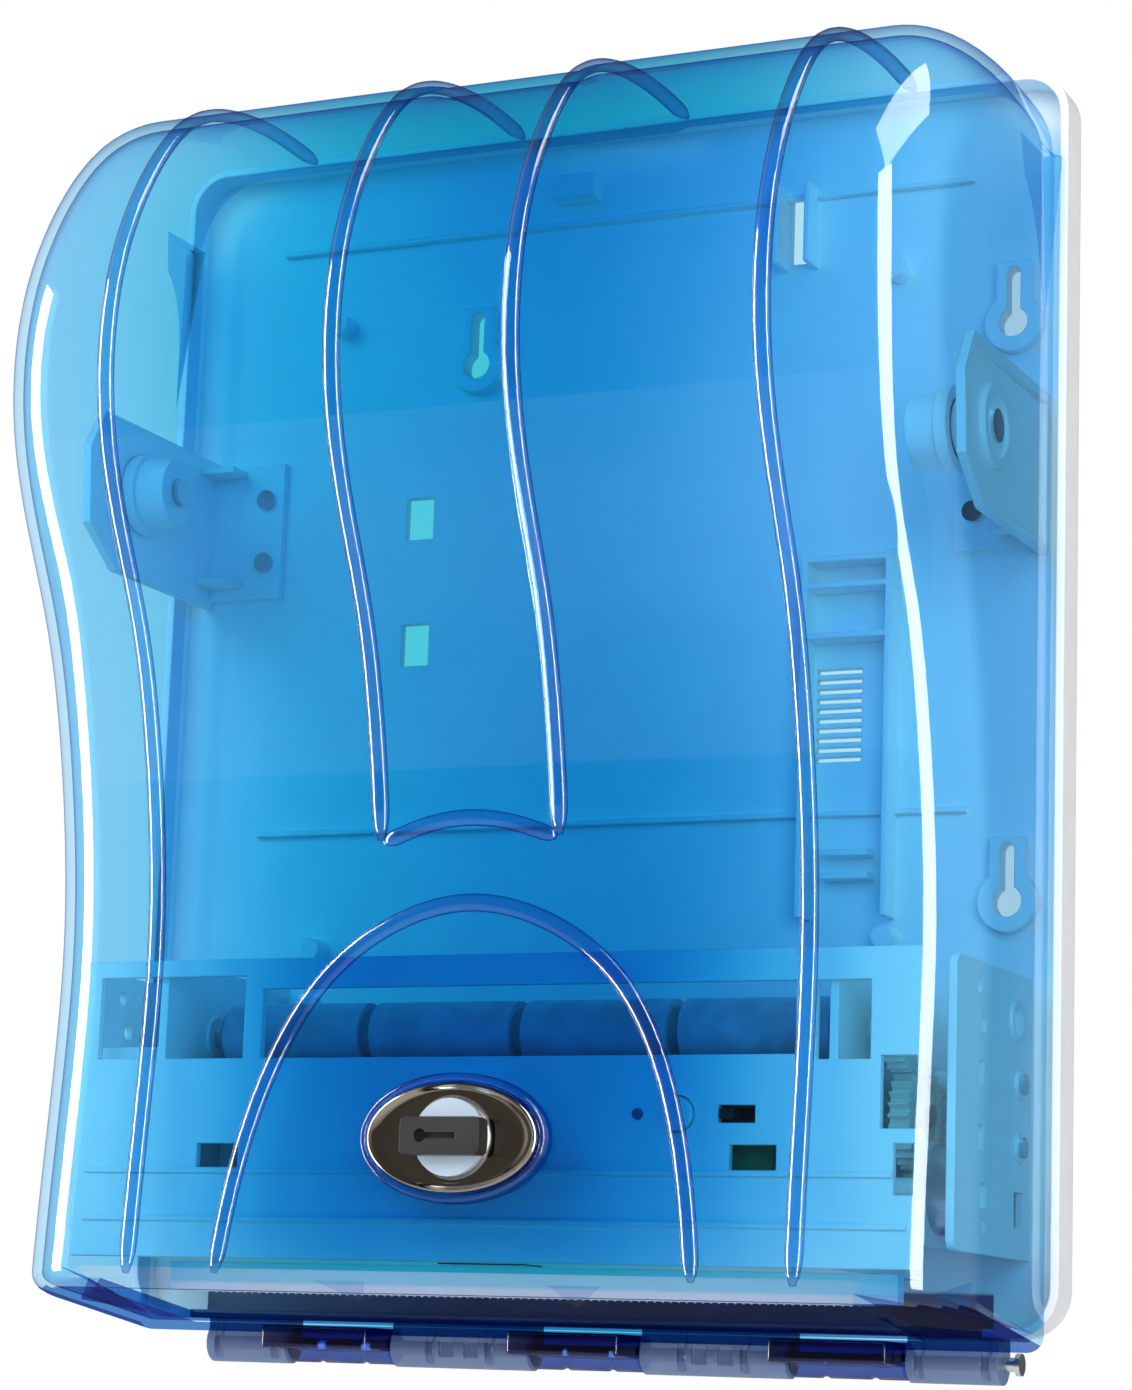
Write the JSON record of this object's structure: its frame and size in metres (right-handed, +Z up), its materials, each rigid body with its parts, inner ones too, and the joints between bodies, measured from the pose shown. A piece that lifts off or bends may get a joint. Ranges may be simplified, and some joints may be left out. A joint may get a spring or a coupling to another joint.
{
  "type": "paper towel dispenser",
  "caption": "Wall-mounted sensor roll towel dispenser with a clear blue wave-shaped hinged cover, oval key lock, white back tray and motor-driven feed rollers",
  "frame": {"origin": "middle of the back tray's flat rear face, where it meets the wall", "axes": "+X to the right seen from the front, +Y into the wall, +Z up; the cover faces -Y"},
  "size_m": [0.305, 0.1372, 0.3921],
  "materials": {
    "white_plastic": "satin",
    "clear_blue": "polished clear",
    "frosted_clip": "translucent",
    "steel": "bright",
    "bronze": "dark bronze plate",
    "chrome": "bright",
    "black_plastic": "matte",
    "zinc_steel": "zinc plated",
    "rubber": "matte",
    "grey_plastic": "matte",
    "gear_plastic": "natural",
    "board_green": "lacquered",
    "ir_window": "dark red",
    "cell_wrap": "printed-free sleeve"
  },
  "bodies": {
    "housing": {"arm_screws": "steel", "back_tray": "white_plastic", "batteries": "cell_wrap", "battery_box": "white_plastic", "battery_contacts": "steel", "board_parts": "black_plastic", "board_screws": "steel", "chassis": "white_plastic", "circuit_board": "board_green", "exit_lip": "white_plastic", "feed_spring": "steel", "gear_motor": "zinc_steel", "hinge_clip_left": "frosted_clip", "hinge_clip_mid_left": "frosted_clip", "hinge_clip_mid_right": "frosted_clip", "hinge_clip_right": "frosted_clip", "hinge_pin": "steel", "hub_pin_left": "steel", "hub_pin_right": "steel", "hub_spring": "steel", "idler_pin": "steel", "lock_keeper": "white_plastic", "mode_switch": "black_plastic", "motor_bracket": "white_plastic", "paper_guide": "white_plastic", "pinch_springs": "steel", "roll_arm_left": "white_plastic", "roll_arm_right": "white_plastic", "roller_bushes": "white_plastic", "sensor_housing": "black_plastic", "sensor_leds": "ir_window", "sensor_window": "ir_window", "side_plate_left": "white_plastic", "side_plate_right": "white_plastic", "side_screws": "steel", "status_lamp": "frosted_clip", "tear_bar": "steel", "tray_screws": "steel"},
    "cover": {"front_cover": "clear_blue", "lock_escutcheon": "bronze", "lock_base": "chrome", "lock_nut": "chrome"},
    "lock_rotor": {"lock_knob": "black_plastic", "lock_cam": "zinc_steel", "cam_screw": "steel"},
    "drive_roller": {"drive_shaft": "steel", "drive_core": "grey_plastic", "drive_sleeves": "rubber", "drive_gear": "gear_plastic"},
    "pinch_roller": {"pinch_shaft": "steel", "pinch_rollers": "rubber"},
    "idler": {"idler_gear": "gear_plastic"},
    "pinion": {"motor_pinion": "gear_plastic", "motor_shaft": "steel"},
    "lid": {"battery_lid": "white_plastic"},
    "button": {"feed_button": "white_plastic"},
    "slider": {"mode_slider": "black_plastic"},
    "hub_left": {"roll_hub_left": "white_plastic"},
    "hub_carrier": {"hub_sleeve": "white_plastic"},
    "hub_right": {"roll_hub_right": "white_plastic"}
  },
  "joints": [
    {"name": "cover_hinge", "type": "hinge", "parent": "housing", "child": "cover", "pos_m": [0.006, -0.008, -0.1963], "axis": [1, 0, 0], "range_deg": [0, 100]},
    {"name": "lock_turn", "type": "hinge", "parent": "cover", "child": "lock_rotor", "pos_m": [0.0005, -0.098, -0.139], "axis": [0, 1, 0], "range_deg": [-90, 0]},
    {"name": "drive_spin", "type": "hinge", "parent": "housing", "child": "drive_roller", "pos_m": [0, -0.047, -0.105], "axis": [1, 0, 0], "continuous": true},
    {"name": "pinch_spin", "type": "hinge", "parent": "housing", "child": "pinch_roller", "pos_m": [0, -0.0279, -0.105], "axis": [1, 0, 0], "continuous": true},
    {"name": "idler_spin", "type": "hinge", "parent": "housing", "child": "idler", "pos_m": [0.117, -0.03479, -0.12796], "axis": [1, 0, 0], "continuous": true},
    {"name": "pinion_spin", "type": "hinge", "parent": "housing", "child": "pinion", "pos_m": [0.117, -0.03115, -0.14864], "axis": [1, 0, 0], "continuous": true},
    {"name": "battery_lid_slide", "type": "slide", "parent": "housing", "child": "lid", "axis": [0, 0, 1], "range_m": [0, 0.035]},
    {"name": "feed_button_press", "type": "slide", "parent": "housing", "child": "button", "axis": [0, 1, 0], "range_m": [0, 0.002], "stiffness_N_per_m": 150, "deforming": ["feed_spring"]},
    {"name": "mode_slide", "type": "slide", "parent": "housing", "child": "slider", "axis": [1, 0, 0], "range_m": [0, 0.0056]},
    {"name": "hub_left_spin", "type": "hinge", "parent": "housing", "child": "hub_left", "pos_m": [-0.12, -0.051, 0.068], "axis": [1, 0, 0], "continuous": true},
    {"name": "hub_right_slide", "type": "slide", "parent": "housing", "child": "hub_carrier", "axis": [1, 0, 0], "range_m": [0, 0.005], "stiffness_N_per_m": 400, "deforming": ["hub_spring"]},
    {"name": "hub_right_spin", "type": "hinge", "parent": "hub_carrier", "child": "hub_right", "pos_m": [0.12, -0.051, 0.068], "axis": [1, 0, 0], "continuous": true}
  ],
  "couplings": [
    {"joint": "pinch_spin", "follows": "drive_spin", "ratio": -1.1364},
    {"joint": "idler_spin", "follows": "drive_spin", "ratio": -0.73333},
    {"joint": "pinion_spin", "follows": "drive_spin", "ratio": 1.8333}
  ]
}
